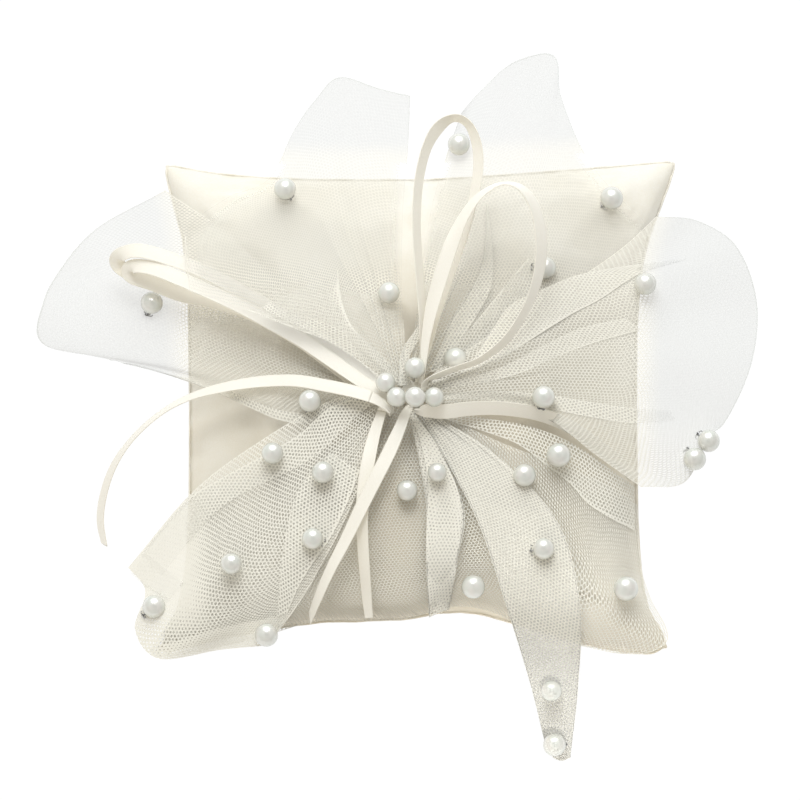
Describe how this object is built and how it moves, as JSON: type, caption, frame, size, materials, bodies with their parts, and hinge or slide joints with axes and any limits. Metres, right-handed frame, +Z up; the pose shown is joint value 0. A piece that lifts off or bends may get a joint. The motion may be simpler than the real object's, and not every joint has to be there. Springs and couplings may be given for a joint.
{
  "type": "ring bearer pillow",
  "caption": "Square satin ring pillow with gathered tulle petals, satin ribbon loops and tails, and pearl studs at its centre.",
  "frame": {"origin": "middle of the flat area that the pillow rests on, at the height of the table", "axes": "+Z up out of the pillow's decorated face, +Y to its far side, +X to its right side"},
  "size_m": [0.2881, 0.2869, 0.0982],
  "materials": {
    "ivory_satin": "ivory bridal satin, soft sheen",
    "polyester_fibre": "matt white fibre",
    "white_tulle": "fine white hexagonal netting",
    "ribbon_satin": "glossy ivory double-face satin ribbon",
    "faux_pearl": "pearlescent lacquer",
    "claw_metal": "bright nickel",
    "sewing_thread": "ivory polyester thread"
  },
  "bodies": {
    "root": {"pillow_front_panel": "ivory_satin", "pillow_back_panel": "ivory_satin", "fibre_filling": "polyester_fibre", "pearl_stud_01": "faux_pearl", "pearl_stud_02": "faux_pearl", "pearl_stud_03": "faux_pearl", "pearl_stud_04": "faux_pearl", "pearl_stud_05": "faux_pearl", "pearl_stud_06": "faux_pearl", "pearl_stud_07": "faux_pearl", "pearl_stud_08": "faux_pearl", "pearl_stud_09": "faux_pearl", "pearl_stud_10": "faux_pearl", "pearl_stud_11": "faux_pearl", "pearl_stud_12": "faux_pearl", "pearl_stud_13": "faux_pearl", "pearl_stud_14": "faux_pearl", "pearl_stud_15": "faux_pearl", "pearl_stud_16": "faux_pearl", "pearl_stud_17": "faux_pearl", "pearl_stud_18": "faux_pearl", "pearl_stud_19": "faux_pearl", "pearl_stud_20": "faux_pearl", "pearl_stud_21": "faux_pearl", "pearl_stud_22": "faux_pearl", "pearl_stud_23": "faux_pearl", "pearl_stud_24": "faux_pearl", "pearl_stud_25": "faux_pearl", "pearl_stud_26": "faux_pearl", "pearl_stud_27": "faux_pearl", "cluster_pearl_middle": "faux_pearl", "cluster_pearl_left": "faux_pearl", "cluster_pearl_top": "faux_pearl", "cluster_pearl_upper_left": "faux_pearl", "cluster_pearl_right": "faux_pearl", "tulle_left_petal": "white_tulle", "tulle_upper_left_petal": "white_tulle", "tulle_upper_right_petal": "white_tulle", "tulle_right_petal": "white_tulle", "tulle_lower_skirt": "white_tulle", "tulle_lower_left_petal": "white_tulle", "tulle_folded_strip": "white_tulle", "tulle_hanging_tail": "white_tulle", "ribbon_loop_left_back": "ribbon_satin", "ribbon_loop_left_front": "ribbon_satin", "ribbon_loop_top": "ribbon_satin", "ribbon_loop_upper_right": "ribbon_satin", "ribbon_tail_right": "ribbon_satin", "gather_binding": "sewing_thread", "ribbon_knot": "ribbon_satin"},
    "left_tail": {"ribbon_tail_left": "ribbon_satin"},
    "front_tails": {"ribbon_tail_front_under": "ribbon_satin", "ribbon_tail_front_over": "ribbon_satin"}
  },
  "joints": [
    {"name": "left_tail_lift", "type": "hinge", "parent": "root", "child": "left_tail", "pos_m": [-0.017, -0.0115, 0.0718], "axis": [-0.1191, 0.9929, 0], "range_deg": [0, 65]},
    {"name": "front_tails_lift", "type": "hinge", "parent": "root", "child": "front_tails", "pos_m": [-0.008, -0.0155, 0.068], "axis": [-1, 0, 0], "range_deg": [0, 60]}
  ]
}
